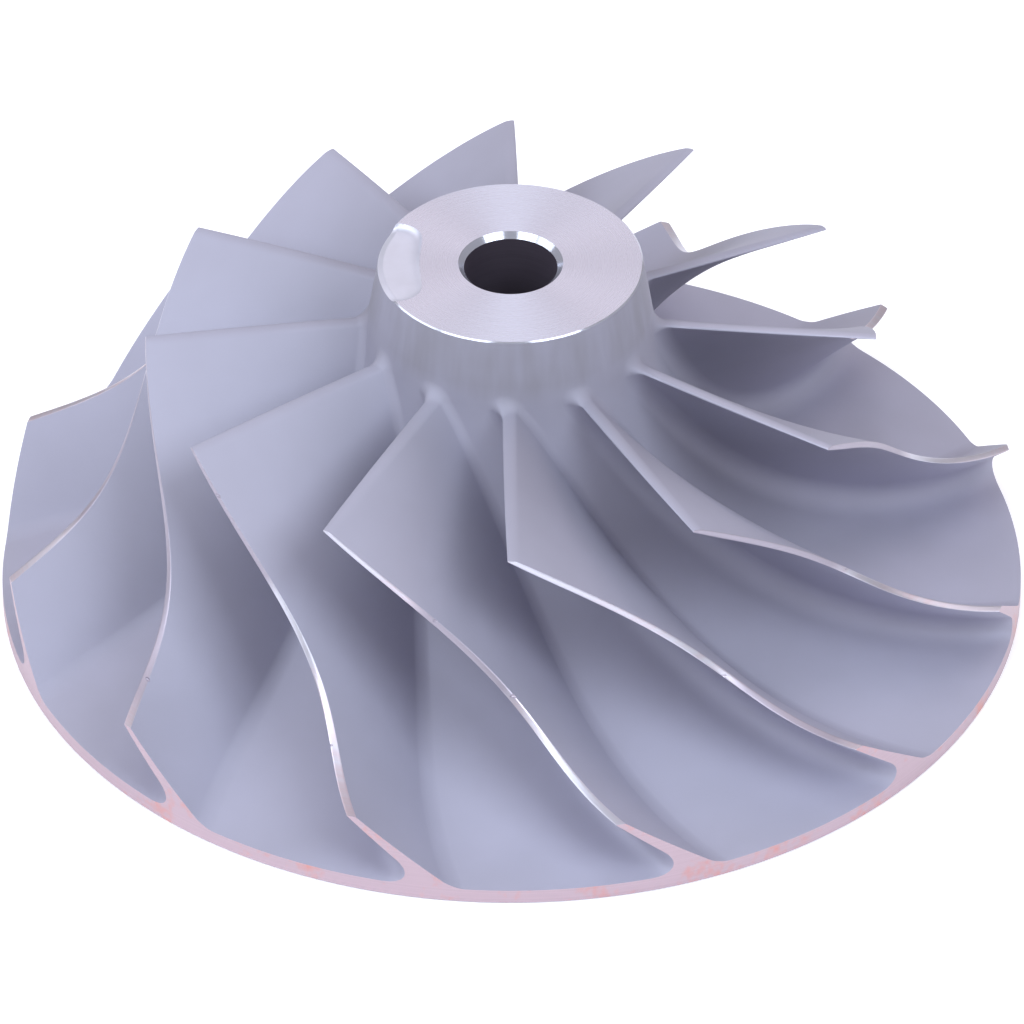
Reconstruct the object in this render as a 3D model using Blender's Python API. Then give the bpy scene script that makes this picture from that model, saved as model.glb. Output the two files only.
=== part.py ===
"""Compressor wheel of a large turbocharger: one aluminium casting, turned and milled.

The wheel stands on its flat back face with its nose up and its shaft bore along +Z. The
blades and the hub between them are a single skin, worked out station by station along the
air path from the leading edges to the rim. The turned nose, bore, rim and back close it.
"""
import math

import bmesh
import bpy
from mathutils import Vector

# Turned sizes, in metres
WHEEL_RADIUS = 0.055
WHEEL_HEIGHT = 0.0434
RIM_THICKNESS = 0.0017
NOSE_RADIUS = 0.01415
NOSE_CHAMFER = 0.0003
BORE_RADIUS = 0.0050
BORE_CHAMFER = 0.0006

# Air path, as the radius and height of the hub and of the blade tips at both ends
BLADE_COUNT = 12
INLET_ROOT_RADIUS = 0.0154
INLET_ROOT_HEIGHT = 0.0354
INLET_TIP_RADIUS = 0.0391
INLET_TIP_HEIGHT = 0.03315
OUTLET_TIP_HEIGHT = 0.00965
HUB_FLARE = 8.6
HUB_OUTLET_SLOPE = 5.0
HUB_INLET_REACH = 0.0165
HUB_OUTLET_REACH = 0.0270
TIP_OUTLET_SLOPE = 12.5
TIP_INLET_REACH = 0.0132
TIP_OUTLET_REACH = 0.0131

# Blade angles about the axis, in degrees, with the slopes of each wrap at its two ends
FIRST_TIP_ANGLE = -119.6
TIP_WRAP = 41.6
TIP_WRAP_SLOPES = (2.36, 0.66)
ROOT_LAG = 0.9
ROOT_WRAP = 52.6
ROOT_WRAP_SLOPES = (2.2, 0.70)

# Blade thickness and root fillets, in metres
TIP_THICKNESS = 0.00065
ROOT_THICKNESS = 0.0016
EDGE_THINNING = 0.5
EDGE_LENGTH = 0.06
EDGE_OVERHANG = 0.005
SUCTION_INLET_FILLET = 0.0010
SUCTION_OUTLET_FILLET = 0.0013
PRESSURE_INLET_FILLET = 0.0018
PRESSURE_OUTLET_FILLET = 0.0050

# Shallow pocket milled into the edge of the nose to balance the wheel
BALANCE_FLAT = 0.0096
BALANCE_WIDTH = 0.0138
BALANCE_OFFSET = 0.0003
BALANCE_DEPTH = 0.0005
BALANCE_CORNER = 0.0018

# Mesh density
STATIONS = 12
STATION_BIAS = 1.35
BLADE_ROWS = 2
FILLET_ROWS = 3
HUB_COLUMNS = 5
CORNER_STEPS = 6

COLUMNS = HUB_COLUMNS + 2
SIDE_ROWS = BLADE_ROWS + FILLET_ROWS
PITCH = 360 / BLADE_COUNT
COLUMN_PITCH = PITCH / COLUMNS


def clear_scene():
    for obj in list(bpy.data.objects):
        bpy.data.objects.remove(obj, do_unlink=True)


def mix(start, end, share):
    return tuple(a + (b - a) * share for a, b in zip(start, end))


def curve(start, start_control, end_control, end, t):
    """Cubic curve through the air path, as radius and height."""
    weights = ((1 - t) ** 3, 3 * (1 - t) ** 2 * t, 3 * (1 - t) * t ** 2, t ** 3)
    points = (start, start_control, end_control, end)
    return tuple(sum(w * p[axis] for w, p in zip(weights, points)) for axis in (0, 1))


def toward(start, reach, slope, direction):
    """Control point at a distance from an end, along a slope given in degrees."""
    turn = math.radians(slope)
    if direction == "down":
        return start[0] + reach * math.sin(turn), start[1] - reach * math.cos(turn)
    return start[0] - reach * math.cos(turn), start[1] + reach * math.sin(turn)


def hub(t):
    start = (INLET_ROOT_RADIUS, INLET_ROOT_HEIGHT)
    end = (WHEEL_RADIUS, RIM_THICKNESS)
    start_control = toward(start, HUB_INLET_REACH, HUB_FLARE, "down")
    end_control = toward(end, HUB_OUTLET_REACH, HUB_OUTLET_SLOPE, "back")
    return curve(start, start_control, end_control, end, t)


def blade_tip(t):
    start = (INLET_TIP_RADIUS, INLET_TIP_HEIGHT)
    end = (WHEEL_RADIUS, OUTLET_TIP_HEIGHT)
    start_control = toward(start, TIP_INLET_REACH, 0, "down")
    end_control = toward(end, TIP_OUTLET_REACH, TIP_OUTLET_SLOPE, "back")
    return curve(start, start_control, end_control, end, t)


def wrap(total, slopes, t):
    """Angle turned from the leading edge, as a cubic with given slopes at both ends."""
    first, last = slopes
    return total * (first * t + (3 - 2 * first - last) * t ** 2 + (first + last - 2) * t ** 3)


def blade_point(t, height):
    """Radius, angle and height on a blade's middle surface, from root 0 to tip 1."""
    root_radius, root_height = hub(t)
    tip_radius, tip_height = blade_tip(t)
    root = (root_radius, wrap(ROOT_WRAP, ROOT_WRAP_SLOPES, t) - ROOT_LAG, root_height)
    tip = (tip_radius, wrap(TIP_WRAP, TIP_WRAP_SLOPES, t), tip_height)
    return mix(root, tip, height)


def position(point):
    radius, angle, height = point
    turn = math.radians(angle)
    return Vector((radius * math.cos(turn), radius * math.sin(turn), height))


def half_angle(t, height):
    """Half of the blade's thickness, as an angle about the axis."""
    step = 0.001
    along = position(blade_point(t + step, height)) - position(blade_point(t - step, height))
    across = position(blade_point(t, height + step)) - position(blade_point(t, height - step))
    radius, angle, _ = blade_point(t, height)
    turn = math.radians(angle)
    around = Vector((-math.sin(turn), math.cos(turn), 0))
    tilt = abs(along.cross(across).normalized().dot(around))
    thickness = ROOT_THICKNESS + (TIP_THICKNESS - ROOT_THICKNESS) * height
    thickness *= 1 - EDGE_THINNING * max(0, 1 - t / EDGE_LENGTH) ** 2
    return math.degrees(thickness / 2 / tilt / radius)


def side_point(t, height, side):
    radius, angle, level = blade_point(t, height)
    return radius, angle + side * half_angle(t, height), level


def fillet_rows(top, corner, foot):
    rows = []
    for row in range(FILLET_ROWS + 1):
        share = row / FILLET_ROWS
        rows.append(mix(mix(top, corner, share), mix(corner, foot, share), share))
    return rows


def fillet_start(t, fillet):
    span = (position(blade_point(t, 1)) - position(blade_point(t, 0))).length
    return fillet / span


def blade_side(t, side):
    """Points down a blade's suction side (1) or pressure side (-1), from tip to hub."""
    if side > 0:
        fillet = SUCTION_INLET_FILLET + (SUCTION_OUTLET_FILLET - SUCTION_INLET_FILLET) * t
    else:
        fillet = PRESSURE_INLET_FILLET + (PRESSURE_OUTLET_FILLET - PRESSURE_INLET_FILLET) * t
    start = fillet_start(t, fillet)
    rows = []
    for row in range(BLADE_ROWS):
        rows.append(side_point(t, 1 - (1 - start) * row / BLADE_ROWS, side))
    corner = side_point(t, 0, side)
    foot = (corner[0], corner[1] + side * math.degrees(fillet / corner[0]), corner[2])
    return rows + fillet_rows(side_point(t, start, side), corner, foot)


def leading_edge():
    """Points down the rounded leading edge and its fillet, onto the hub upstream."""
    start = fillet_start(0, SUCTION_INLET_FILLET)
    rows = []
    for row in range(BLADE_ROWS):
        rows.append(blade_point(-EDGE_OVERHANG, 1 - (1 - start) * row / BLADE_ROWS))
    top = blade_point(-EDGE_OVERHANG, start)
    corner = blade_point(-EDGE_OVERHANG, 0)
    rise = SUCTION_INLET_FILLET * math.cos(math.radians(HUB_FLARE))
    inset = SUCTION_INLET_FILLET * math.sin(math.radians(HUB_FLARE))
    foot = (corner[0] - inset, corner[1] - ROOT_LAG, corner[2] + rise)
    return rows + fillet_rows(top, corner, foot)


def trailing_edge():
    """Points down the middle of the trailing edge, which is turned with the rim."""
    ahead = blade_side(1, -1)
    behind = blade_side(1, 1)
    return [mix(a, b, 0.5) for a, b in zip(ahead, behind)]


def passage(t):
    """Points across one passage, from one blade's tip down, over the hub and up the next."""
    near = blade_side(t, 1)
    far = [(r, angle + PITCH, z) for r, angle, z in blade_side(t, -1)]
    floor = [mix(near[-1], far[-1], column / HUB_COLUMNS) for column in range(1, HUB_COLUMNS)]
    return near + floor + far[::-1]


def add_points(mesh, points, blade):
    turn = FIRST_TIP_ANGLE + PITCH * blade
    return [mesh.verts.new(position((r, angle + turn, z))) for r, angle, z in points]


def add_strip(mesh, first, second):
    for index in range(len(first) - 1):
        corners = (first[index], first[index + 1], second[index + 1], second[index])
        mesh.faces.new(corners)


def add_band(mesh, first, second):
    """Closed band of faces between two rings with the same number of points."""
    add_strip(mesh, first + first[:1], second + second[:1])


def add_ring(mesh, radius, height, start_angle):
    count = BLADE_COUNT * COLUMNS
    points = [(radius, start_angle + COLUMN_PITCH * index, height) for index in range(count)]
    return [mesh.verts.new(position(point)) for point in points]


def add_blades(mesh):
    """Skin of all blades and passages. Returns its open ring at the nose and at the rim."""
    shares = [(index / STATIONS) ** STATION_BIAS for index in range(STATIONS + 1)]
    sections = [passage(share) for share in shares]
    passages = []
    for blade in range(BLADE_COUNT):
        passages.append([add_points(mesh, section, blade) for section in sections])
    inlet_ring = []
    outlet_ring = []
    for blade in range(BLADE_COUNT):
        here = passages[blade]
        before = passages[blade - 1]
        for first, second in zip(here, here[1:]):
            add_strip(mesh, first, second)
        add_strip(mesh, [row[-1] for row in before], [row[0] for row in here])
        for end, points, ring in ((0, leading_edge(), inlet_ring), (-1, trailing_edge(), outlet_ring)):
            pressure = before[end][::-1][:SIDE_ROWS + 1]
            suction = here[end][:SIDE_ROWS + 1]
            middle = add_points(mesh, points, blade)
            add_strip(mesh, pressure, middle)
            add_strip(mesh, middle, suction)
            mesh.faces.new((pressure[0], middle[0], suction[0]))
            ring.append(middle[-1])
            ring.extend(here[end][SIDE_ROWS:SIDE_ROWS + HUB_COLUMNS + 1])
    return inlet_ring, outlet_ring


def add_turned_body(mesh, inlet_ring, outlet_ring):
    """Turned surfaces from the hub over the nose, down the bore and along the back."""
    nose_angle = FIRST_TIP_ANGLE - 2 * ROOT_LAG
    shoulder_height = (INLET_ROOT_HEIGHT + WHEEL_HEIGHT) / 2
    taper = (INLET_ROOT_RADIUS - NOSE_RADIUS) / (WHEEL_HEIGHT - INLET_ROOT_HEIGHT)
    shoulder_radius = NOSE_RADIUS + taper * (WHEEL_HEIGHT - shoulder_height)
    profile = (
        (shoulder_radius, shoulder_height),
        (NOSE_RADIUS, WHEEL_HEIGHT - NOSE_CHAMFER),
        (NOSE_RADIUS - NOSE_CHAMFER, WHEEL_HEIGHT),
        (BORE_RADIUS + BORE_CHAMFER, WHEEL_HEIGHT),
        (BORE_RADIUS, WHEEL_HEIGHT - BORE_CHAMFER),
        (BORE_RADIUS, BORE_CHAMFER),
        (BORE_RADIUS + BORE_CHAMFER, 0),
    )
    rings = [inlet_ring]
    rings.extend(add_ring(mesh, radius, height, nose_angle) for radius, height in profile)
    for first, second in zip(rings, rings[1:]):
        add_band(mesh, first, second)
    back_ring = []
    for vert in outlet_ring:
        back_ring.append(mesh.verts.new((vert.co.x, vert.co.y, 0)))
    add_band(mesh, outlet_ring, back_ring)
    shift = round(wrap(ROOT_WRAP, ROOT_WRAP_SLOPES, 1) / COLUMN_PITCH)
    bore_ring = rings[-1]
    add_band(mesh, back_ring, bore_ring[shift:] + bore_ring[:shift])


def add_wheel(material):
    mesh = bmesh.new()
    inlet_ring, outlet_ring = add_blades(mesh)
    add_turned_body(mesh, inlet_ring, outlet_ring)
    bmesh.ops.recalc_face_normals(mesh, faces=mesh.faces)
    data = bpy.data.meshes.new("compressor_wheel")
    mesh.to_mesh(data)
    mesh.free()
    data.materials.append(material)
    data.shade_smooth()
    data.set_sharp_from_angle(angle=math.radians(35))
    wheel = bpy.data.objects.new("compressor_wheel", data)
    bpy.context.collection.objects.link(wheel)
    return wheel


def add_balance_cutter():
    """Rounded block that mills the balance pocket in from the edge of the nose."""
    outline = []
    reach = NOSE_RADIUS + BALANCE_CORNER
    half = BALANCE_WIDTH / 2
    for side in (-1, 1):
        corner_x = -BALANCE_FLAT - BALANCE_CORNER
        corner_y = BALANCE_OFFSET + side * (half - BALANCE_CORNER)
        arc = []
        for step in range(CORNER_STEPS + 1):
            turn = math.radians(90 * step / CORNER_STEPS)
            arc.append((corner_x + BALANCE_CORNER * math.sin(turn),
                        corner_y + side * BALANCE_CORNER * math.cos(turn)))
        if side == -1:
            outline.append((-reach, BALANCE_OFFSET - half))
            outline.extend(arc)
        else:
            outline.extend(arc[::-1])
            outline.append((-reach, BALANCE_OFFSET + half))
    mesh = bmesh.new()
    floor = [mesh.verts.new((x, y, WHEEL_HEIGHT - BALANCE_DEPTH)) for x, y in outline]
    face = mesh.faces.new(floor)
    lifted = bmesh.ops.extrude_face_region(mesh, geom=[face])["geom"]
    for item in lifted:
        if isinstance(item, bmesh.types.BMVert):
            item.co.z = WHEEL_HEIGHT + BALANCE_CORNER
    bmesh.ops.recalc_face_normals(mesh, faces=mesh.faces)
    data = bpy.data.meshes.new("balance_cutter")
    mesh.to_mesh(data)
    mesh.free()
    cutter = bpy.data.objects.new("balance_cutter", data)
    bpy.context.collection.objects.link(cutter)
    cutter.hide_render = True
    cutter.display_type = "WIRE"
    return cutter


def cut(target, cutter):
    boolean = target.modifiers.new("balance_pocket", "BOOLEAN")
    boolean.operation = "DIFFERENCE"
    boolean.solver = "EXACT"
    boolean.object = cutter


def cast_aluminium():
    material = bpy.data.materials.new("cast_aluminium")
    material.use_nodes = True
    shader = material.node_tree.nodes["Principled BSDF"]
    shader.inputs["Base Color"].default_value = (0.56, 0.56, 0.63, 1)
    shader.inputs["Metallic"].default_value = 0.9
    shader.inputs["Roughness"].default_value = 0.45
    return material


clear_scene()
cut(add_wheel(cast_aluminium()), add_balance_cutter())
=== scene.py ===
"""Looks of a turbocharger compressor wheel: one aluminium casting, turned and milled."""
import math

import bmesh
import bpy
from mathutils import Matrix, Vector


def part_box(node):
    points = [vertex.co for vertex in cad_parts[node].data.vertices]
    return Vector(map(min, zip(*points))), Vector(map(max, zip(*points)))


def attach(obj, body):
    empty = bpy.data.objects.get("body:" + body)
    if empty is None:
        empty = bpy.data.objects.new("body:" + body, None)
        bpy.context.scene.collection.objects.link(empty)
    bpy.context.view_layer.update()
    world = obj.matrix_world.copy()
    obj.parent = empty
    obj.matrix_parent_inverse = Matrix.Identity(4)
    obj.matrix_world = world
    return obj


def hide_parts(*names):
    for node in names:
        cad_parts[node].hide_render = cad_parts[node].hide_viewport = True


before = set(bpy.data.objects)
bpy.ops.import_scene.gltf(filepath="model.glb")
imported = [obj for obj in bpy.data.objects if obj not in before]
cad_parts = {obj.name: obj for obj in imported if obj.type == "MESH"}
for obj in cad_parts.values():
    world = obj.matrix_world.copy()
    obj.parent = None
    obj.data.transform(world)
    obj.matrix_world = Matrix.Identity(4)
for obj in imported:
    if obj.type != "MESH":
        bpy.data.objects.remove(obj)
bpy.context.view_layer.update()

# The casting: twelve backswept blades and the flared hub between them, poured in one piece of
# aluminium around the shaft line. The air path keeps its cast skin. A lathe then turns the
# blade tips, the outlet edges, the rim, the nose, the bore and the back.

wheel_low, wheel_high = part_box("compressor_wheel")
BLADE_COUNT = 12
WHEEL_LENGTHS = {
    "Wheel radius": (wheel_high[0] - wheel_low[0]) / 2,
    "Wheel height": wheel_high[2],
    "Rim thickness": 0.0017,
    "Rim break": 0.00012,
    "Nose radius": 0.01415,
    "Nose chamfer": 0.00014,
    "Bore radius": 0.0050,
    "Bore chamfer": 0.0006,
    "Inlet root radius": 0.0154,
    "Inlet root height": 0.0354,
    "Inlet tip radius": 0.0391,
    "Inlet tip height": 0.03315,
    "Outlet tip height": 0.00965,
    "Hub inlet reach": 0.0165,
    "Hub outlet reach": 0.0270,
    "Tip inlet reach": 0.0132,
    "Tip outlet reach": 0.0131,
    "Tip thickness": 0.00065,
    "Root thickness": 0.0016,
    "Edge break": 0.00006,
    "Suction inlet fillet": 0.0010,
    "Suction outlet fillet": 0.0013,
    "Pressure inlet fillet": 0.0018,
    "Pressure outlet fillet": 0.0050,
}
WHEEL_ANGLES = {
    "Blade pitch": 360 / BLADE_COUNT,
    "First blade": -119.6,
    "Tip wrap": 41.6,
    "Root wrap": 52.6,
    "Root lag": 0.9,
    "Hub flare": 8.6,
    "Hub outlet slope": 5.0,
    "Tip outlet slope": 12.5,
}
WHEEL_SHARES = {
    "Tip wrap start": 2.36,
    "Tip wrap end": 0.66,
    "Root wrap start": 2.2,
    "Root wrap end": 0.70,
    "Edge thinning": 0.2,
    "Edge length": 0.06,
    "Edge overhang": 0.007,
    "Fillet weight": 0.6,
}

STATIONS = 88
STATION_BIAS = 1.35
FLANK_ROWS = 9
FILLET_ROWS = 8
EDGE_COLUMNS = 8
FLOOR_COLUMNS = 16
RING_COLUMNS = EDGE_COLUMNS + FLOOR_COLUMNS
EDGE_SHARE = EDGE_COLUMNS / RING_COLUMNS
SHOULDER_ROWS = 6
RIM_ROWS = 3
CHAMFER_ROWS = 2
NOSE_ROWS = 8
BORE_ROWS = 8
BACK_ROWS = 16
BACK_RING_SHARE = 0.97
INLET_RING_TURN = math.radians(-7.5)
COLUMNS_BETWEEN_RINGS = 42
COLUMN_TURN = math.radians(360 / BLADE_COUNT / RING_COLUMNS)
OUTLET_RING_TURN = INLET_RING_TURN + COLUMNS_BETWEEN_RINGS * COLUMN_TURN
CAST, EDGE, RIM, FACE, CHAMFER, BORE = range(6)
STATION_STEP = 0.001
CROWN_POWER = 8
TIP_POWER = 4
MERGE_DISTANCE = 0.000004
SHARP_ANGLE = 30


class Field:
    """A value or a point that Geometry Nodes works out all over a mesh, written as arithmetic."""

    def __init__(self, socket):
        self.socket = socket
        self.tree = socket.id_data

    def __add__(self, other):
        return calculate("ADD", self, other)

    def __sub__(self, other):
        return calculate("SUBTRACT", self, other)

    def __rsub__(self, other):
        return calculate("SUBTRACT", other, self)

    def __mul__(self, other):
        return calculate("MULTIPLY", self, other)

    def __truediv__(self, other):
        return calculate("DIVIDE", self, other)

    def __rtruediv__(self, other):
        return calculate("DIVIDE", other, self)

    def __pow__(self, other):
        return calculate("POWER", self, other)

    __radd__ = __add__
    __rmul__ = __mul__


def is_point(value):
    return isinstance(value, Field) and value.socket.type == "VECTOR"


def calculate(operation, *values):
    """Adds the Math node, or the Vector Math node where a point takes part."""
    tree = next(value.tree for value in values if isinstance(value, Field))
    if not any(is_point(value) for value in values):
        node = tree.nodes.new("ShaderNodeMath")
        sockets = node.inputs
    else:
        node = tree.nodes.new("ShaderNodeVectorMath")
        sockets = node.inputs
        if operation == "MULTIPLY" and not all(is_point(value) for value in values):
            operation = "SCALE"
            values = sorted(values, key=is_point, reverse=True)
            sockets = (node.inputs[0], node.inputs[3])
    node.operation = operation
    for socket, value in zip(sockets, values):
        connect(value, socket)
    return Field(node.outputs[0])


def connect(value, socket):
    if isinstance(value, Field):
        value.tree.links.new(value.socket, socket)
    else:
        socket.default_value = value


def sine(turn):
    return calculate("SINE", turn)


def cosine(turn):
    return calculate("COSINE", turn)


def mix(start, end, share):
    return start + (end - start) * share


def polar(tree, radius, angle, height):
    """A point on the wheel as its radius, its angle about the shaft and its height."""
    node = tree.nodes.new("ShaderNodeCombineXYZ")
    for value, socket in zip((radius, angle, height), node.inputs):
        connect(value, socket)
    return Field(node.outputs[0])


def split(point):
    node = point.tree.nodes.new("ShaderNodeSeparateXYZ")
    connect(point, node.inputs[0])
    return tuple(Field(socket) for socket in node.outputs)


def curve(points, t):
    """Cubic curve of the air path, from its four points."""
    rest = 1 - t
    square = rest * rest
    near, far = 3 * square * t, 3 * rest * t * t
    start = points[0] * (square * rest)
    return start + points[1] * near + points[2] * far + points[3] * (t * t * t)


def wrap(total, first, last, t):
    """Angle turned from the leading edge, as a cubic with given slopes at both ends."""
    return total * t * (first + t * ((3 - 2 * first - last) + t * (first + last - 2)))


def half_angle_tree():
    """Group that turns a thickness across the leaning blade into an angle about the shaft."""
    tree = bpy.data.node_groups.new("Blade half angle", "GeometryNodeTree")
    for name in ("Root", "Tip", "Next root", "Next tip"):
        tree.interface.new_socket(name, in_out="INPUT", socket_type="NodeSocketVector")
    for name in ("Height", "Thickness"):
        tree.interface.new_socket(name, in_out="INPUT", socket_type="NodeSocketFloat")
    tree.interface.new_socket("Half angle", in_out="OUTPUT", socket_type="NodeSocketFloat")
    given = {socket.name: Field(socket) for socket in tree.nodes.new("NodeGroupInput").outputs}
    here = mix(given["Root"], given["Tip"], given["Height"])
    after = mix(given["Next root"], given["Next tip"], given["Height"])
    radius = split(here)[0]
    lengths = polar(tree, 1, radius, 1)
    along = (after - here) * lengths
    across = (given["Tip"] - given["Root"]) * lengths
    normal = calculate("NORMALIZE", calculate("CROSS_PRODUCT", along, across))
    tilt = calculate("ABSOLUTE", split(normal)[1])
    connect(given["Thickness"] / (tilt * radius * 2), tree.nodes.new("NodeGroupOutput").inputs[0])
    return tree


class Casting:
    """The rule that the cast and turned surfaces follow, from the tree's named sizes."""

    def __init__(self, tree, sizes):
        self.tree = tree
        self.sizes = sizes
        start = self.at(sizes["Inlet root radius"], sizes["Inlet root height"])
        end = self.at(sizes["Wheel radius"], sizes["Rim thickness"])
        flare, slope = sizes["Hub flare"], sizes["Hub outlet slope"]
        inlet = self.at(sine(flare), -1 * cosine(flare)) * sizes["Hub inlet reach"]
        outlet = self.at(-1 * cosine(slope), sine(slope)) * sizes["Hub outlet reach"]
        self.hub = (start, start + inlet, end + outlet, end)
        start = self.at(sizes["Inlet tip radius"], sizes["Inlet tip height"])
        end = self.at(sizes["Wheel radius"], sizes["Outlet tip height"])
        slope = sizes["Tip outlet slope"]
        inlet = self.at(0, -1 * sizes["Tip inlet reach"])
        outlet = self.at(-1 * cosine(slope), sine(slope)) * sizes["Tip outlet reach"]
        self.tip = (start, start + inlet, end + outlet, end)

    def at(self, radius, height):
        return polar(self.tree, radius, 0, height)

    def turned(self, angle):
        return polar(self.tree, 0, angle, 0)

    def ends(self, t):
        """Root and tip of the blade's middle surface at t, from the inlet 0 to the rim 1."""
        sizes = self.sizes
        root_turn = wrap(sizes["Root wrap"], sizes["Root wrap start"], sizes["Root wrap end"], t)
        tip_turn = wrap(sizes["Tip wrap"], sizes["Tip wrap start"], sizes["Tip wrap end"], t)
        root = curve(self.hub, t) + self.turned(root_turn - sizes["Root lag"])
        return root, curve(self.tip, t) + self.turned(tip_turn)

    def station(self, t):
        """What all points at one place along the blade share."""
        root, tip = self.ends(t)
        next_root, next_tip = self.ends(t + STATION_STEP)
        mean_radius = split(root + tip)[0] / 2
        gap = (tip - root) * polar(self.tree, 1, mean_radius, 1)
        span = calculate("LENGTH", gap)
        span = Field(span.socket.node.outputs["Value"])
        nearness = calculate("MAXIMUM", 1 - t / self.sizes["Edge length"], 0)
        thinning = 1 - self.sizes["Edge thinning"] * nearness * nearness
        return {"t": t, "root": root, "tip": tip, "next root": next_root, "next tip": next_tip,
                "top": 1 - self.sizes["Edge break"] / span, "span": span, "thinning": thinning}

    def half_angle(self, station, height):
        """Half of the blade's thickness, as an angle about the shaft."""
        thickness = mix(self.sizes["Root thickness"], self.sizes["Tip thickness"], height)
        values = {"Root": station["root"], "Tip": station["tip"], "Next root": station["next root"],
                  "Next tip": station["next tip"], "Height": height,
                  "Thickness": thickness * station["thinning"]}
        node = self.tree.nodes.new("GeometryNodeGroup")
        node.node_tree = bpy.data.node_groups.get("Blade half angle") or half_angle_tree()
        for name, value in values.items():
            connect(value, node.inputs[name])
        return Field(node.outputs[0])

    def side(self, station, height, side):
        """Point on the suction side 1 or the pressure side -1 of a blade."""
        middle = mix(station["root"], station["tip"], height)
        return middle + self.turned(self.half_angle(station, height) * side)

    def fillet(self, t, side):
        name = "Suction" if side > 0 else "Pressure"
        return mix(self.sizes[name + " inlet fillet"], self.sizes[name + " outlet fillet"], t)

    def flank(self, station, share, side):
        """Point down a blade's side, from the edge of its tip 0 to the start of its fillet 1."""
        low = self.fillet(station["t"], side) / station["span"]
        return self.side(station, mix(station["top"], low, share), side)

    def foot(self, station, side):
        """Point where the root fillet runs out on the hub."""
        corner = self.side(station, 0, side)
        return corner + self.turned(self.fillet(station["t"], side) * side / split(corner)[0])

    def rounded(self, start, corner, end, share):
        """Point on the round that runs from start to end inside a corner."""
        first, last = (1 - share) * (1 - share), share * share
        middle = share * (1 - share) * self.sizes["Fillet weight"] * 2
        return (start * first + corner * middle + end * last) / (first + middle + last)

    def root_fillet(self, station, share, side):
        """Point on a root fillet, from the blade 0 to the hub 1."""
        top = self.side(station, self.fillet(station["t"], side) / station["span"], side)
        return self.rounded(top, self.side(station, 0, side), self.foot(station, side), share)

    def floor(self, station, share):
        """Point across the hub, from one blade's fillet 0 to the next blade's 1."""
        far = self.foot(station, -1) + self.turned(self.sizes["Blade pitch"])
        return mix(self.foot(station, 1), far, share)

    def crown(self, turn):
        return calculate("ABSOLUTE", sine(turn)) ** CROWN_POWER

    def tip_strip(self, station, turn):
        """Point across a blade's turned tip, which has a fine break on both edges."""
        height = 1 - (1 - station["top"]) * self.crown(turn)
        middle = mix(station["root"], station["tip"], height)
        return middle + self.turned(sine(turn) * self.half_angle(station, station["top"]))

    def nose_point(self, inlet, height, turn, reach):
        """Point on the rounded leading edge, a share of its overhang ahead of the blade."""
        root, tip = self.ends(-1 * self.sizes["Edge overhang"] * cosine(turn) * reach)
        return mix(root, tip, height) + self.turned(sine(turn) * self.half_angle(inlet, height))

    def nose_fillet(self, turn):
        share = sine(turn) / 2 + 0.5
        return mix(self.sizes["Pressure inlet fillet"], self.sizes["Suction inlet fillet"], share)

    def leading_tip(self, inlet, share, turn):
        """Point on the front end of the tip, rounded over onto the leading edge."""
        crown = self.crown(turn)
        height = 1 - (1 - inlet["top"]) * (crown + (1 - crown) * share ** TIP_POWER)
        root, tip = self.ends(-1 * self.sizes["Edge overhang"] * cosine(turn) * share)
        half = self.half_angle(inlet, inlet["top"])
        return mix(root, tip, height) + self.turned(sine(turn) * half)

    def leading_edge(self, inlet, share, turn):
        low = self.nose_fillet(turn) / inlet["span"]
        return self.nose_point(inlet, mix(inlet["top"], low, share), turn, 1)

    def leading_foot(self, inlet, turn):
        corner = self.nose_point(inlet, 0, turn, 1)
        fillet = self.nose_fillet(turn)
        flare = self.sizes["Hub flare"]
        ahead = fillet * cosine(turn)
        around = fillet * sine(turn) / split(corner)[0]
        return corner + polar(self.tree, -1 * ahead * sine(flare), around, ahead * cosine(flare))

    def leading_fillet(self, inlet, share, turn):
        """Point on the fillet that runs round the root of the leading edge."""
        top = self.nose_point(inlet, self.nose_fillet(turn) / inlet["span"], turn, 1)
        corner = self.nose_point(inlet, 0, turn, 1)
        return self.rounded(top, corner, self.leading_foot(inlet, turn), share)

    def trailing_edge(self, outlet, share, turn):
        """Point on the outlet edge, which is turned on the wheel's outer cylinder."""
        across = sine(turn) / 2 + 0.5
        point = mix(self.flank(outlet, share, -1), self.flank(outlet, share, 1), across)
        lift = (1 - outlet["top"]) * (1 - self.crown(turn)) * (1 - share) ** 8
        return point + (outlet["tip"] - outlet["root"]) * lift

    def trailing_fillet(self, outlet, share, turn):
        across = sine(turn) / 2 + 0.5
        return mix(self.root_fillet(outlet, share, -1), self.root_fillet(outlet, share, 1), across)

    def shoulder_line(self):
        """Half way up the hub ahead of the blades, where it tapers to the nose."""
        sizes = self.sizes
        radius = (sizes["Inlet root radius"] + sizes["Nose radius"]) / 2
        return self.at(radius, (sizes["Inlet root height"] + sizes["Wheel height"]) / 2)

    def even_ring(self, profile, share, first):
        """Point on a ring whose columns are evenly spaced, counted from a blade's angle."""
        return profile + self.turned(first + self.sizes["Blade pitch"] * share)


def node_with(tree, kind, values, settings=()):
    """Adds a node, sets its properties and fills or links its inputs by name."""
    node = tree.nodes.new(kind)
    for name, value in settings:
        setattr(node, name, value)
    for name, value in values.items():
        connect(value, node.inputs[name])
    return node


def grid_share(tree):
    """Shares across and down whichever patch is being placed, both from 0 to 1."""
    position = Field(tree.nodes.new("GeometryNodeInputPosition").outputs[0])
    x, y, _ = split(position)
    return x + 0.5, y + 0.5


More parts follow.
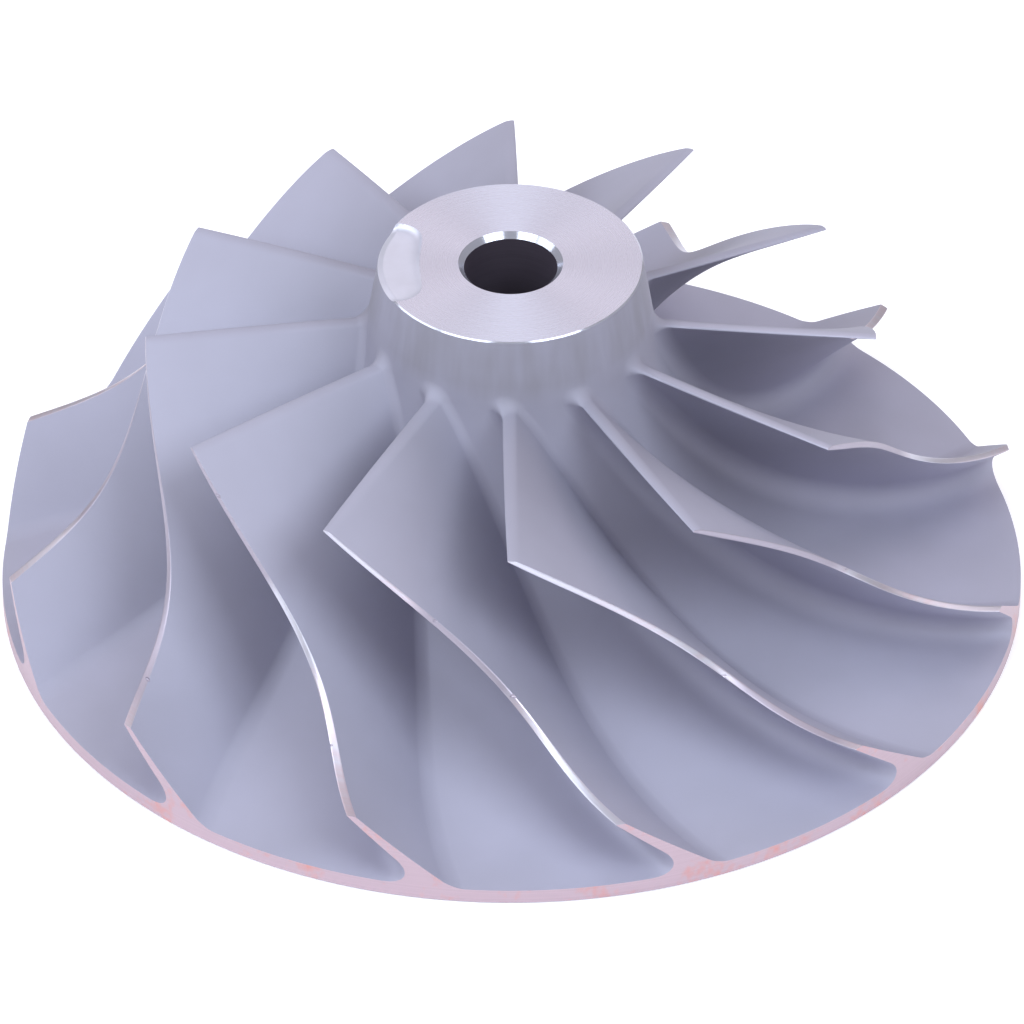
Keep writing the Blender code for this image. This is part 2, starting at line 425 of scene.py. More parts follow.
def patch(tree, columns, rows, place, finish):
    """One grid of faces laid on the surface that place describes, marked with its finish."""
    size = {"Size X": 1, "Size Y": 1, "Vertices X": columns + 1, "Vertices Y": rows + 1}
    grid = node_with(tree, "GeometryNodeMeshGrid", size)
    radius, angle, height = split(place)
    spot = polar(tree, radius * cosine(angle), radius * sine(angle), height)
    laid = node_with(tree, "GeometryNodeSetPosition",
                     {"Geometry": Field(grid.outputs["Mesh"]), "Position": spot})
    marked = node_with(tree, "GeometryNodeStoreNamedAttribute",
                       {"Geometry": Field(laid.outputs[0]), "Name": "finish", "Value": finish},
                       [("data_type", "INT"), ("domain", "FACE")])
    return marked.outputs[0]


def blade(casting, across, down, turn):
    """Both sides of a blade and its turned tip."""
    here = casting.station(down ** STATION_BIAS)
    return [
        (FLANK_ROWS, STATIONS, casting.flank(here, across, 1), CAST),
        (FLANK_ROWS, STATIONS, casting.flank(here, across, -1), CAST),
        (EDGE_COLUMNS, STATIONS, casting.tip_strip(here, turn), EDGE),
    ]


def passage(casting, across, down, turn):
    """The hub between two blades, with the fillets that it meets them in."""
    here = casting.station(down ** STATION_BIAS)
    return [
        (FILLET_ROWS, STATIONS, casting.root_fillet(here, across, 1), CAST),
        (FILLET_ROWS, STATIONS, casting.root_fillet(here, across, -1), CAST),
        (FLOOR_COLUMNS, STATIONS, casting.floor(here, across), CAST),
    ]


def leading_edge(casting, across, down, turn):
    inlet = casting.station(down * 0)
    return [
        (EDGE_COLUMNS, 3, casting.leading_tip(inlet, down, turn), EDGE),
        (EDGE_COLUMNS, FLANK_ROWS, casting.leading_edge(inlet, down, turn), CAST),
        (EDGE_COLUMNS, FILLET_ROWS, casting.leading_fillet(inlet, down, turn), CAST),
    ]


def trailing_edge(casting, across, down, turn):
    outlet = casting.station(down * 0 + 1)
    return [
        (EDGE_COLUMNS, FLANK_ROWS, casting.trailing_edge(outlet, down, turn), RIM),
        (EDGE_COLUMNS, FILLET_ROWS, casting.trailing_fillet(outlet, down, turn), RIM),
    ]


def shoulder(casting, across, down, turn):
    """The hub ahead of the blades, up to an evenly divided ring."""
    inlet = casting.station(down * 0)
    before = casting.even_ring(casting.shoulder_line(), across * EDGE_SHARE, INLET_RING_TURN)
    share = EDGE_SHARE + (1 - EDGE_SHARE) * across
    between = casting.even_ring(casting.shoulder_line(), share, INLET_RING_TURN)
    return [
        (EDGE_COLUMNS, SHOULDER_ROWS, mix(casting.leading_foot(inlet, turn), before, down), CAST),
        (FLOOR_COLUMNS, SHOULDER_ROWS, mix(casting.floor(inlet, across), between, down), CAST),
    ]


def rim(casting, across, down, turn):
    """The turned edge of the back disc, and the outer border of its back."""
    sizes = casting.sizes
    outlet = casting.station(down * 0 + 1)
    low = casting.at(sizes["Wheel radius"], sizes["Rim break"])
    under = casting.at(sizes["Wheel radius"] - sizes["Rim break"], 0)
    inner = casting.at(sizes["Wheel radius"] * BACK_RING_SHARE, 0)
    foot = mix(casting.foot(outlet, -1), casting.foot(outlet, 1), sine(turn) / 2 + 0.5)
    patches = []
    for columns, top, share in (
            (EDGE_COLUMNS, foot, across * EDGE_SHARE),
            (FLOOR_COLUMNS, casting.floor(outlet, across), EDGE_SHARE + (1 - EDGE_SHARE) * across)):
        around = casting.turned(split(top)[1])
        ring = casting.even_ring(inner, share, OUTLET_RING_TURN)
        patches += [
            (columns, RIM_ROWS, mix(top, low + around, down), RIM),
            (columns, 1, mix(low, under, down) + around, RIM),
            (columns, 2, mix(under + around, ring, down), FACE),
        ]
    return patches


def turned_faces(casting, across, down, turn):
    """The nose, its chamfers, the bore and the back, as rings of even columns."""
    sizes = casting.sizes
    height, nose, bore = sizes["Wheel height"], sizes["Nose radius"], sizes["Bore radius"]
    mouth, nose_chamfer = sizes["Bore chamfer"], sizes["Nose chamfer"]
    start = casting.shoulder_line()
    patches = []
    for radius, level, rows, finish in (
            (nose, height - nose_chamfer, SHOULDER_ROWS, CAST),
            (nose - nose_chamfer, height, CHAMFER_ROWS, CHAMFER),
            (bore + mouth, height, NOSE_ROWS, FACE),
            (bore, height - mouth, CHAMFER_ROWS, CHAMFER),
            (bore, mouth, BORE_ROWS, BORE),
            (bore + mouth, 0, CHAMFER_ROWS, CHAMFER),
            (sizes["Wheel radius"] * BACK_RING_SHARE, 0, BACK_ROWS, FACE)):
        end = casting.at(radius, level)
        ring = casting.even_ring(mix(start, end, down), across, INLET_RING_TURN)
        patches.append((RING_COLUMNS, rows, ring, finish))
        start = end
    return patches


def sized_tree(name):
    """New tree with the wheel's named sizes as inputs, and those sizes as fields."""
    tree = bpy.data.node_groups.new(name, "GeometryNodeTree")
    tree.interface.new_socket("Geometry", in_out="OUTPUT", socket_type="NodeSocketGeometry")
    angles = {name: math.radians(value) for name, value in WHEEL_ANGLES.items()}
    for kind, values in (("DISTANCE", WHEEL_LENGTHS), ("ANGLE", angles), ("NONE", WHEEL_SHARES)):
        for size, value in values.items():
            socket = tree.interface.new_socket(size, in_out="INPUT", socket_type="NodeSocketFloat")
            socket.subtype = kind
            socket.default_value = value
    given = tree.nodes.new("NodeGroupInput")
    return tree, {socket.name: Field(socket) for socket in given.outputs if socket.name}


def part_tree(rule):
    """Node group of one part of a sector, joined from the patches that its rule lists."""
    tree, sizes = sized_tree(rule.__name__.replace("_", " ").capitalize())
    across, down = grid_share(tree)
    turn = (across - 0.5) * math.pi
    joined = tree.nodes.new("GeometryNodeJoinGeometry")
    for columns, rows, place, finish in rule(Casting(tree, sizes), across, down, turn):
        tree.links.new(patch(tree, columns, rows, place, finish), joined.inputs[0])
    tree.links.new(joined.outputs[0], tree.nodes.new("NodeGroupOutput").inputs[0])
    return tree


def wheel_tree(materials):
    """Tree of the whole wheel: one sector set around the shaft as often as there are blades."""
    tree, sizes = sized_tree("Compressor wheel")
    joined = tree.nodes.new("GeometryNodeJoinGeometry")
    for rule in (blade, passage, leading_edge, trailing_edge, shoulder, rim, turned_faces):
        part = tree.nodes.new("GeometryNodeGroup")
        part.node_tree = part_tree(rule)
        for name, size in sizes.items():
            connect(size, part.inputs[name])
        tree.links.new(part.outputs[0], joined.inputs[0])
    points = node_with(tree, "GeometryNodePoints", {"Count": BLADE_COUNT})
    index = Field(tree.nodes.new("GeometryNodeInputIndex").outputs[0])
    turn = polar(tree, 0, 0, sizes["First blade"] + sizes["Blade pitch"] * index)
    placed = node_with(tree, "GeometryNodeInstanceOnPoints",
                       {"Points": Field(points.outputs[0]), "Instance": Field(joined.outputs[0]),
                        "Rotation": turn})
    whole = node_with(tree, "GeometryNodeRealizeInstances", {"Geometry": Field(placed.outputs[0])})
    whole = node_with(tree, "GeometryNodeMergeByDistance",
                      {"Geometry": Field(whole.outputs[0]), "Distance": MERGE_DISTANCE})
    finish = node_with(tree, "GeometryNodeInputNamedAttribute", {"Name": "finish"},
                       [("data_type", "INT")])
    for number, material in enumerate(materials):
        chosen = node_with(tree, "FunctionNodeCompare", {},
                           [("data_type", "INT"), ("operation", "EQUAL")])
        tree.links.new(finish.outputs[0], chosen.inputs[2])
        chosen.inputs[3].default_value = number
        whole = node_with(tree, "GeometryNodeSetMaterial",
                          {"Geometry": Field(whole.outputs[0]),
                           "Selection": Field(chosen.outputs[0]), "Material": material})
    tree.links.new(whole.outputs[0], tree.nodes.new("NodeGroupOutput").inputs[0])
    return tree


RINGS_IN_WAVE = 9


def mask_group(name, sizes, masks):
    """New shader group with its named sizes, which puts out only the masks that are named."""
    group = bpy.data.node_groups.new(name, "ShaderNodeTree")
    for size, value in sizes:
        socket = group.interface.new_socket(size, in_out="INPUT", socket_type="NodeSocketFloat")
        socket.default_value = value
    for mask in masks:
        group.interface.new_socket(mask, in_out="OUTPUT", socket_type="NodeSocketFloat")
    entry = group.nodes.new("NodeGroupInput")
    return group, {socket.name: Field(socket) for socket in entry.outputs if socket.name}


def turning_marks():
    """Shader group of the fine rings that a lathe tool leaves around the shaft line."""
    group, given = mask_group("Turning marks", (("Ring pitch", 0.0001), ("Unevenness", 0.5)),
                              ("Rings",))
    nodes = group.nodes
    spot = Field(nodes.new("ShaderNodeTexCoord").outputs["Object"])
    x, y, z = split(spot)
    radius = (x * x + y * y) ** 0.5
    ring = (radius + z) / given["Ring pitch"]
    noise = nodes.new("ShaderNodeTexNoise")
    noise.noise_dimensions = "1D"
    noise.inputs["Detail"].default_value = 2
    connect(ring, noise.inputs["W"])
    wide = nodes.new("ShaderNodeTexNoise")
    wide.noise_dimensions = "1D"
    connect(ring / RINGS_IN_WAVE, wide.inputs["W"])
    rings = mix(Field(noise.outputs[0]), Field(wide.outputs[0]), given["Unevenness"])
    connect(rings, nodes.new("NodeGroupOutput").inputs[0])
    return group


def skin_mottle():
    """Shader group of the clouding and the fine grain that a cast or blasted surface has."""
    group, given = mask_group("Skin mottle", (("Cloud size", 0.012), ("Grain size", 0.0003)),
                              ("Clouds", "Grain"))
    nodes = group.nodes
    end = nodes.new("NodeGroupOutput")
    spot = nodes.new("ShaderNodeTexCoord").outputs["Object"]
    for name, detail, mask in (("Cloud size", 3, "Clouds"), ("Grain size", 2, "Grain")):
        noise = nodes.new("ShaderNodeTexNoise")
        noise.inputs["Detail"].default_value = detail
        group.links.new(spot, noise.inputs["Vector"])
        connect(1 / given[name], noise.inputs["Scale"])
        group.links.new(noise.outputs[0], end.inputs[mask])
    return group


def finish_material(name, roughness, metallic, anisotropy=0):
    """New Principled material, with its tree and its shader."""
    material = bpy.data.materials.new(name)
    material.use_nodes = True
    shader = material.node_tree.nodes["Principled BSDF"]
    shader.inputs["Roughness"].default_value = roughness
    shader.inputs["Metallic"].default_value = metallic
    shader.inputs["Anisotropic"].default_value = anisotropy
    return material, material.node_tree, shader


def place_group(tree, group, values):
    node = tree.nodes.new("ShaderNodeGroup")
    node.node_tree = group
    for name, value in values.items():
        node.inputs[name].default_value = value
    return {socket.name: Field(socket) for socket in node.outputs}


def ramp(value, stops):
    """Colour that changes with a value, through stops of place and colour."""
    node = value.tree.nodes.new("ShaderNodeValToRGB")
    while len(node.color_ramp.elements) < len(stops):
        node.color_ramp.elements.new(0.5)
    for element, (place, color) in zip(node.color_ramp.elements, stops):
        element.position = place
        element.color = (*color, 1)
    connect(value, node.inputs[0])
    return node.outputs[0]


def span_map(value, low, high):
    """The value, taken from 0 to 1, set out between low and high."""
    return low + value * (high - low)


def clamp(value):
    return calculate("MINIMUM", calculate("MAXIMUM", value, 0), 1)


def blended(tree, first, second, share):
    """Colour that goes from a socket's colour to a plain one as the share goes from 0 to 1."""
    node = tree.nodes.new("ShaderNodeMix")
    node.data_type = "RGBA"
    connect(share, node.inputs["Factor"])
    tree.links.new(first, node.inputs["A"])
    node.inputs["B"].default_value = (*second, 1)
    return node.outputs["Result"]


def bump(shader, height, distance):
    tree = shader.id_data
    node = tree.nodes.new("ShaderNodeBump")
    node.inputs["Distance"].default_value = distance
    node.inputs["Strength"].default_value = 1
    connect(height, node.inputs["Height"])
    tree.links.new(node.outputs[0], shader.inputs["Normal"])


MARKS = turning_marks()
MOTTLE = skin_mottle()


STREAK_SCALE = (1, 1, 0.04)
STREAK_FINENESS = 500
STREAK_START = 0.035
STREAK_FADE = 0.003
STREAK_DEPTH = 0.75
# Painted shade towards the hub: the radii between which the skin's tone goes from its darker factor
# to its paler one.
HUB_SHADE_REACH = (0.022, 0.048)
HUB_SHADE_TONE = (0.91, 1.11)
# A painted highlight on two neighbouring leading edges: its depth below the edge line, where it
# starts and fades, its middle angle, core and reach, and how much paler and smoother it makes the
# skin.
GLINT_DEPTH = 0.00025
GLINT_START = 0.0165
GLINT_FADE = 0.002
GLINT_MIDDLE = math.radians(-14.6)
GLINT_CORE = math.radians(15)
GLINT_REACH = math.radians(30)
GLINT_PALER = 0.18
GLINT_SMOOTHER = 0.2


def inlet_edge_height(radius):
    """Height of the leading edges at a radius, on a line from their roots to their tips."""
    drop = WHEEL_LENGTHS["Inlet root height"] - WHEEL_LENGTHS["Inlet tip height"]
    drop = drop / (WHEEL_LENGTHS["Inlet tip radius"] - WHEEL_LENGTHS["Inlet root radius"])
    start = WHEEL_LENGTHS["Inlet root height"] + drop * WHEEL_LENGTHS["Inlet root radius"]
    return start - radius * drop


def cast_skin():
    """Blasted aluminium, with painted shade: darker towards the hub, where the passages between
    the blades are deep, and paler towards the rim.

    Ahead of the blades it has faint marks drawn along the shaft line, and two neighbouring
    leading edges carry a painted highlight, a paler and smoother band that stands for a glint.
    """
    material, tree, shader = finish_material("cast_skin", 0.65, 0.3)
    mottle = place_group(tree, MOTTLE, {"Cloud size": 0.014, "Grain size": 0.00018})
    spot = tree.nodes.new("ShaderNodeTexCoord").outputs["Object"]
    drawn = tree.nodes.new("ShaderNodeMapping")
    drawn.inputs["Scale"].default_value = STREAK_SCALE
    tree.links.new(spot, drawn.inputs["Vector"])
    streaks = tree.nodes.new("ShaderNodeTexNoise")
    streaks.inputs["Scale"].default_value = STREAK_FINENESS
    tree.links.new(drawn.outputs[0], streaks.inputs["Vector"])
    x, y, height = split(Field(spot))
    ahead = clamp((height - STREAK_START) / STREAK_FADE)
    tone = mottle["Clouds"] - ahead * Field(streaks.outputs[0]) * STREAK_DEPTH
    color = ramp(tone, ((0.0, (0.31, 0.302, 0.362)), (0.3, (0.36, 0.353, 0.441)),
                        (0.7, (0.395, 0.388, 0.486))))
    radius = (x * x + y * y) ** 0.5
    # Painted shade: the skin is darkened towards the hub, where the passages are deep, and
    # lightened towards the rim.
    outward = clamp((radius - HUB_SHADE_REACH[0]) / (HUB_SHADE_REACH[1] - HUB_SHADE_REACH[0]))
    # Painted highlight: a paler, smoother band along the tops of two neighbouring leading edges
    # stands for a glint.
    front = (height - inlet_edge_height(radius)) / GLINT_DEPTH
    front = calculate("MINIMUM", front, (radius - GLINT_START) / GLINT_FADE)
    away = calculate("ABSOLUTE", calculate("ARCTAN2", y, x) - GLINT_MIDDLE)
    beside = (GLINT_REACH - away) / (GLINT_REACH - GLINT_CORE)
    painted_glint = clamp(calculate("MINIMUM", front, beside))
    paler = tree.nodes.new("ShaderNodeVectorMath")
    paler.operation = "SCALE"
    tree.links.new(color, paler.inputs[0])
    connect(span_map(outward, *HUB_SHADE_TONE) + painted_glint * GLINT_PALER, paler.inputs["Scale"])
    tree.links.new(paler.outputs[0], shader.inputs["Base Color"])
    roughness = span_map(mottle["Clouds"], 0.6, 0.72) - painted_glint * GLINT_SMOOTHER
    connect(roughness, shader.inputs["Roughness"])
    bump(shader, mottle["Grain"], 0.000006)
    return material


# Painted shade on the tips: places where the turned strip is darkened and made rougher to stand
# for a dimmer reflection, each as a blade's number, a share of the way from the inlet to the
# outlet and how far the shade reaches.

SHADED_TIP_SPOTS = (
    (0, 0.32, 0.0085),
    (1, 0.8, 0.008),
    (2, 0.08, 0.009),
    (2, 0.26, 0.009),
    (3, 0.08, 0.01),
    (3, 0.29, 0.0105),
    (9, 0.51, 0.0105),
    (10, 0.17, 0.0105),
    (10, 0.61, 0.014),
    (11, 0.03, 0.0065),
    (11, 0.16, 0.007),
)
TIP_SHADE_CORE = 3
TIP_SHADE_COLOR = (0.45, 0.41, 0.49)
TIP_SHADE_ROUGHER = 0.12


def tip_place(blade, share, aside=0):
    """A place on one blade's turned tip, worked out from the casting's named sizes.

    Aside is how far it lies from the middle of the strip, as a share of the tip's thickness.
    """
    slope = math.radians(WHEEL_ANGLES["Tip outlet slope"])
    start = Vector((WHEEL_LENGTHS["Inlet tip radius"], WHEEL_LENGTHS["Inlet tip height"]))
    end = Vector((WHEEL_LENGTHS["Wheel radius"], WHEEL_LENGTHS["Outlet tip height"]))
    inlet = Vector((0, -1)) * WHEEL_LENGTHS["Tip inlet reach"]
    outlet = Vector((-math.cos(slope), math.sin(slope))) * WHEEL_LENGTHS["Tip outlet reach"]
    radius, height = curve((start, start + inlet, end + outlet, end), share)
    total = math.radians(WHEEL_ANGLES["Tip wrap"])
    turn = wrap(total, WHEEL_SHARES["Tip wrap start"], WHEEL_SHARES["Tip wrap end"], share)
    turn += math.radians(WHEEL_ANGLES["First blade"] + WHEEL_ANGLES["Blade pitch"] * blade)
    turn += aside * WHEEL_LENGTHS["Tip thickness"] / radius
    place = Vector((radius * math.cos(turn), radius * math.sin(turn), height))
    return Matrix.Translation(place) @ Matrix.Rotation(turn, 4, "Z")


def turned_edge():
    """The blade tips, a narrow turned strip, with painted shade: darker and rougher at listed
    places.
    """
    material, tree, shader = finish_material("turned_edge", 0.4, 0.85)
    rings = place_group(tree, MARKS, {"Ring pitch": 0.0002, "Unevenness": 0.6})["Rings"]
    clouds = place_group(tree, MOTTLE, {"Cloud size": 0.02, "Grain size": 0.001})["Clouds"]
    strip_color = ramp(clouds * 0.7 + rings * 0.3,
                  ((0.4, (0.66, 0.55, 0.62)), (0.55, (0.66, 0.65, 0.75))))
    spot = Field(tree.nodes.new("ShaderNodeTexCoord").outputs["Object"])
    # Painted shade: the strip is darkened around each listed place on the tips.
    tip_shade = clouds * 0
    for blade, share, reach in SHADED_TIP_SPOTS:
        place = tuple(tip_place(blade, share).translation)
        away = calculate("LENGTH", spot - place).socket.node.outputs["Value"]
        tip_shade = tip_shade + calculate("MAXIMUM", 1 - Field(away) / reach, 0)
    tip_shade = clamp(tip_shade * TIP_SHADE_CORE)
    tree.links.new(blended(tree, strip_color, TIP_SHADE_COLOR, tip_shade), shader.inputs["Base Color"])
    connect(span_map(rings, 0.34, 0.44) + tip_shade * TIP_SHADE_ROUGHER, shader.inputs["Roughness"])
    bump(shader, rings, 0.000003)
    return material


SMEAR_COLOR = (0.62, 0.31, 0.29)
SMEAR_START = 0.79
SMEAR_EDGE = 4


def turned_rim():
    """The rim and the outlet edges, with a warm cast and rusty smears along the corners."""
    material, tree, shader = finish_material("turned_rim", 0.4, 0.85)
    rings = place_group(tree, MARKS, {"Ring pitch": 0.00012, "Unevenness": 0.5})["Rings"]
    smears = place_group(tree, MOTTLE, {"Cloud size": 0.006, "Grain size": 0.0009})
    plain = ramp(rings, ((0.3, (0.49, 0.375, 0.43)), (0.7, (0.55, 0.425, 0.485))))
    smeared = clamp((smears["Clouds"] + smears["Grain"] / 2 - SMEAR_START) * SMEAR_EDGE)
    tree.links.new(blended(tree, plain, SMEAR_COLOR, smeared), shader.inputs["Base Color"])
    connect(span_map(rings, 0.34, 0.5), shader.inputs["Roughness"])
    bump(shader, rings, 0.000008)
    return material


def ringed_material(name, metallic, anisotropy, pitch, colors, roughness):
    """Turned metal whose fine rings run round the shaft line and spread its shine across them."""
    material, tree, shader = finish_material(name, 0.3, metallic, anisotropy)
    rings = place_group(tree, MARKS, {"Ring pitch": pitch, "Unevenness": 0.35})["Rings"]
    tree.links.new(ramp(rings, ((0.3, colors[0]), (0.7, colors[1]))), shader.inputs["Base Color"])
    connect(span_map(rings, *roughness), shader.inputs["Roughness"])
    bump(shader, rings, 0.0000005)
    tangent = tree.nodes.new("ShaderNodeTangent")
    tangent.direction_type = "RADIAL"
    tangent.axis = "Z"
    tree.links.new(tangent.outputs[0], shader.inputs["Tangent"])
    shader.inputs["Anisotropic Rotation"].default_value = 0.25
    return material


def turned_face():
    return ringed_material("turned_face", 0.95, 0.85, 0.00012,
                           ((0.58, 0.615, 0.745), (0.60, 0.635, 0.77)), (0.25, 0.3))


def turned_chamfer():
    return ringed_material("turned_chamfer", 0.6, 0.3, 0.0001,
                           ((0.50, 0.51, 0.60), (0.54, 0.55, 0.64)), (0.12, 0.16))


# Painted shade: the bored wall has a far darker colour than turned aluminium, to stand for the
# shade inside the hole.
def bored_wall():
    return ringed_material("bored_wall", 0.75, 0.2, 0.0004,
                           ((0.155, 0.13, 0.175), (0.19, 0.16, 0.21)), (0.4, 0.5))


def make_wheel():
    """The wheel as one plain mesh, evaluated from its Geometry Nodes tree."""
    materials = [cast_skin(), turned_edge(), turned_rim(),
                 turned_face(), turned_chamfer(), bored_wall()]
    wheel = bpy.data.objects.new("cast_wheel", bpy.data.meshes.new("cast_wheel"))
    bpy.context.scene.collection.objects.link(wheel)
    modifier = wheel.modifiers.new("wheel", "NODES")
    modifier.node_group = wheel_tree(materials)
    for socket in modifier.node_group.interface.items_tree:
        if socket.in_out == "INPUT":
            modifier[socket.identifier] = socket.default_value
    graph = bpy.context.evaluated_depsgraph_get()
    made = bpy.data.meshes.new_from_object(wheel.evaluated_get(graph))
    wheel.modifiers.remove(modifier)
    shape = bmesh.new()
    shape.from_mesh(made)
    numbers = {made.materials.find(material.name): index
               for index, material in enumerate(materials)}
    for face in shape.faces:
        face.material_index = numbers[face.material_index]
    bmesh.ops.recalc_face_normals(shape, faces=shape.faces)
    shape.to_mesh(wheel.data)
    shape.free()
    for material in materials:
        wheel.data.materials.append(material)
    return wheel


wheel = make_wheel()

# The balance pocket: after the wheel is spun on its arbor, a little metal is ground off the
# nose at its edge, on the heavy side. The grinding head leaves a shallow dish with round corners.

POCKET_MIDDLE = (-0.0121, 0.0001)
POCKET_SIZE = (0.0050, 0.0138)
POCKET_CORNER = 0.0026
POCKET_DEPTH = 0.00029
POCKET_SLANT = 0.035
POCKET_WALL = 0.00034
POCKET_WAVE = (0.00013, 0.009)
POCKET_HOLLOW = 0.00008
LIP_WIDTH = 0.0005
LIP_SLOPE = 0.45
POCKET_CELLS = (48, 116)
POCKET_MARGIN = 0.0003
CUTTER_RISE = 0.001


def ground_dish():
    material, tree, shader = finish_material("ground_dish", 0.4, 0.5)
    mottle = place_group(tree, MOTTLE, {"Cloud size": 0.003, "Grain size": 0.0006})
    tree.links.new(ramp(mottle["Clouds"], ((0.3, (0.60, 0.605, 0.71)), (0.7, (0.66, 0.665, 0.78)))),
                   shader.inputs["Base Color"])
    connect(span_map(mottle["Clouds"], 0.38, 0.46), shader.inputs["Roughness"])
    bump(shader, mottle["Grain"], 0.000002)
    return material


def pocket_depth(x, y):
    """Depth of the dish below the nose; its wall is soft, and it runs out over the nose's edge."""
    wave = -POCKET_WAVE[0] * math.cos(y / POCKET_WAVE[1] * 2 * math.pi)
    past_x = x - POCKET_MIDDLE[0] - wave - (POCKET_SIZE[0] / 2 - POCKET_CORNER)
    past_y = abs(y - POCKET_MIDDLE[1]) - (POCKET_SIZE[1] / 2 - POCKET_CORNER)
    past = math.hypot(max(past_x, 0), max(past_y, 0)) + min(max(past_x, past_y), 0)
    inside = POCKET_CORNER - past
    if inside < 0:
        return POCKET_DEPTH * inside / POCKET_WALL
    side = (x - POCKET_MIDDLE[0]) / POCKET_SIZE[0] * 2
    hollow = POCKET_HOLLOW * (1 - side * side)
    lip = LIP_SLOPE * max(math.hypot(x, y) - WHEEL_LENGTHS["Nose radius"] + LIP_WIDTH, 0)
    floor = POCKET_DEPTH + POCKET_SLANT * y + hollow + lip
    return floor * (1 - math.exp(-inside / POCKET_WALL))


def cutter_object(mesh, name, material):
    bmesh.ops.recalc_face_normals(mesh, faces=mesh.faces)
    data = bpy.data.meshes.new(name)
    mesh.to_mesh(data)
    mesh.free()
    data.materials.append(material)
    cutter = bpy.data.objects.new(name, data)
    bpy.context.scene.collection.objects.link(cutter)
    return cutter


def pocket_cutter(material):
    mesh = bmesh.new()
    face = WHEEL_LENGTHS["Wheel height"]
    bmesh.ops.create_grid(mesh, x_segments=POCKET_CELLS[0], y_segments=POCKET_CELLS[1], size=1)
    for vertex in mesh.verts:
        x = POCKET_MIDDLE[0] + vertex.co.x * (POCKET_SIZE[0] / 2 + POCKET_MARGIN)
        y = POCKET_MIDDLE[1] + vertex.co.y * (POCKET_SIZE[1] / 2 + POCKET_MARGIN)
        vertex.co = (x, y, face - pocket_depth(x, y))
    raised = bmesh.ops.extrude_face_region(mesh, geom=mesh.faces[:])["geom"]
    for vertex in raised:
        if isinstance(vertex, bmesh.types.BMVert):
            vertex.co.z = face + CUTTER_RISE
    return cutter_object(mesh, "pocket_cutter", material)


def cut_away(piece, cutter):
    """Takes the cutter's shape out of the piece and keeps the result as a plain mesh."""
    cut = piece.modifiers.new("cut", "BOOLEAN")
    cut.operation = "DIFFERENCE"
    cut.solver = "EXACT"
    cut.material_mode = "TRANSFER"
    cut.object = cutter
    graph = bpy.context.evaluated_depsgraph_get()
    piece.data = bpy.data.meshes.new_from_object(piece.evaluated_get(graph))
    piece.modifiers.remove(cut)
    bpy.data.objects.remove(cutter)


def crease(piece):
    """Smooths the shading but keeps the corners sharp, and every line where the finish changes."""
    piece.data.shade_smooth()
    piece.data.set_sharp_from_angle(angle=math.radians(SHARP_ANGLE))
    shape = bmesh.new()
    shape.from_mesh(piece.data)
    for edge in shape.edges:
        if len({face.material_index for face in edge.link_faces}) > 1:
            edge.smooth = False
    shape.to_mesh(piece.data)
    shape.free()


cut_away(wheel, pocket_cutter(ground_dish()))

# Nicks from handling: a few small dents on the corners of the turned blade tips, each as a blade's
# number, a share of the way from the inlet to the outlet, the side of the strip and its radius.

NICKS = (
    (11, 0.07, 1, 0.00024),
    (0, 0.22, 1, 0.0002),
    (0, 0.49, 1, 0.00026),
    (10, 0.84, 1, 0.00024),
    (1, 0.56, -1, 0.00026),
    (11, 0.77, -1, 0.0002),
    (2, 0.45, 1, 0.0002),
    (5, 0.6, -1, 0.00024),
)
NICK_STRETCH = (0.8, 1.7, 0.9, 1)
NICK_ASIDE = 0.65


def nick_cutter(material):
    mesh = bmesh.new()
    for blade, share, side, radius in NICKS:
        place = tip_place(blade, share, side * NICK_ASIDE) @ Matrix.Diagonal(NICK_STRETCH)
        bmesh.ops.create_icosphere(mesh, subdivisions=2, radius=radius, matrix=place)
    return cutter_object(mesh, "nick_cutter", material)


cut_away(wheel, nick_cutter(bpy.data.materials["turned_edge"]))
crease(wheel)
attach(wheel, "root")
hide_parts("compressor_wheel")

# The setting: a plain white floor that glows faintly, so that no shadow shows on it, and soft
# boxes all round in a dim surround, strongest in front. The camera is far off, on a long lens.

FLOOR_SIZE = 3.0
FLOOR_DROP = 0.00005
FLOOR_COLOR = (0.95, 0.95, 0.96, 1)
FLOOR_GLOW = (0.94, 0.97, 1, 1)
FLOOR_GLOW_STRENGTH = 0.22
SURROUND_COLOR = (1, 0.92, 0.91, 1)
SURROUND_STRENGTH = 0.28
WHEEL_MIDDLE = Vector((0, 0, 0.015))
BOX_DISTANCE = 1.5
BOX_SIZE = (0.8, 0.8)
COOL = (0.84, 0.92, 1.0)
WARM = (1.0, 0.87, 0.88)
CAMERA_PLACE = Vector((0.0, -1.5657, 1.2186))
CAMERA_AIM = Vector((0.00006, -0.00323, 0.01229))
CAMERA_ROLL = math.radians(-0.1657)
CAMERA_LENS = 645.4


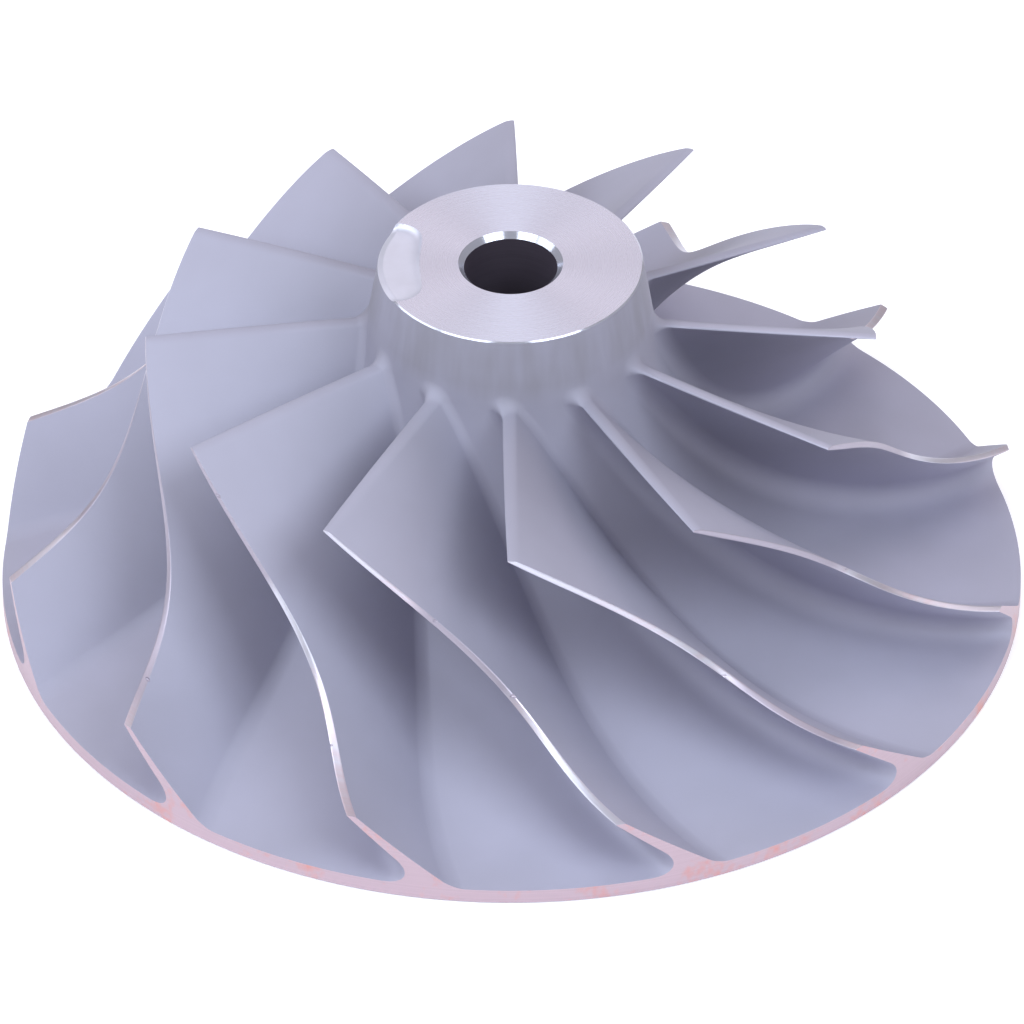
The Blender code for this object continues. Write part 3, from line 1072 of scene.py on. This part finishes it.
def studio_floor():
    material, _, shader = finish_material("studio_floor", 0.9, 0)
    shader.inputs["Base Color"].default_value = FLOOR_COLOR
    shader.inputs["Emission Color"].default_value = FLOOR_GLOW
    shader.inputs["Emission Strength"].default_value = FLOOR_GLOW_STRENGTH
    mesh = bmesh.new()
    bmesh.ops.create_grid(mesh, x_segments=1, y_segments=1, size=FLOOR_SIZE)
    data = bpy.data.meshes.new("studio_floor")
    mesh.to_mesh(data)
    mesh.free()
    data.materials.append(material)
    floor = bpy.data.objects.new("studio_floor", data)
    floor.location.z = -FLOOR_DROP
    bpy.context.scene.collection.objects.link(floor)


def soft_box(name, azimuth, elevation, size, power, color):
    """Square-on light at an azimuth counted from the camera's side and an elevation, in degrees."""
    light = bpy.data.lights.new(name, "AREA")
    light.shape = "RECTANGLE"
    light.size, light.size_y = size
    light.energy = power
    light.color = color
    around, up = math.radians(azimuth), math.radians(elevation)
    way = Vector((math.sin(around) * math.cos(up), -math.cos(around) * math.cos(up), math.sin(up)))
    box = bpy.data.objects.new(name, light)
    box.location = WHEEL_MIDDLE + way * BOX_DISTANCE
    box.rotation_euler = way.to_track_quat("Z", "Y").to_euler()
    bpy.context.scene.collection.objects.link(box)


def studio_world():
    world = bpy.data.worlds.new("studio")
    world.use_nodes = True
    background = world.node_tree.nodes["Background"]
    background.inputs["Color"].default_value = SURROUND_COLOR
    background.inputs["Strength"].default_value = SURROUND_STRENGTH
    bpy.context.scene.world = world


def camera():
    data = bpy.data.cameras.new("camera")
    data.lens = CAMERA_LENS
    data.clip_start, data.clip_end = 0.1, 20
    body = bpy.data.objects.new("camera", data)
    body.location = CAMERA_PLACE
    body.rotation_euler = (CAMERA_AIM - CAMERA_PLACE).to_track_quat("-Z", "Y").to_euler()
    body.rotation_euler.rotate_axis("Z", CAMERA_ROLL)
    bpy.context.scene.collection.objects.link(body)
    bpy.context.scene.camera = body


studio_floor()
studio_world()
soft_box("right_box", 45, 45, BOX_SIZE, 11.2, COOL)
soft_box("left_box", -45, 45, BOX_SIZE, 9.3, COOL)
soft_box("side_box", -90, 40, BOX_SIZE, 5.9, COOL)
soft_box("top_box", 0, 80, (0.9, 0.9), 5, COOL)
soft_box("back_box", 180, 40, (0.5, 0.7), 1.15, WARM)
soft_box("back_strip", 180, 40, (0.12, 1.4), 0.8, COOL)
soft_box("back_left_box", -130, 42, BOX_SIZE, 2.1, WARM)
soft_box("back_right_box", 130, 42, BOX_SIZE, 3, WARM)
bpy.context.scene.view_settings.view_transform = "Standard"
camera()
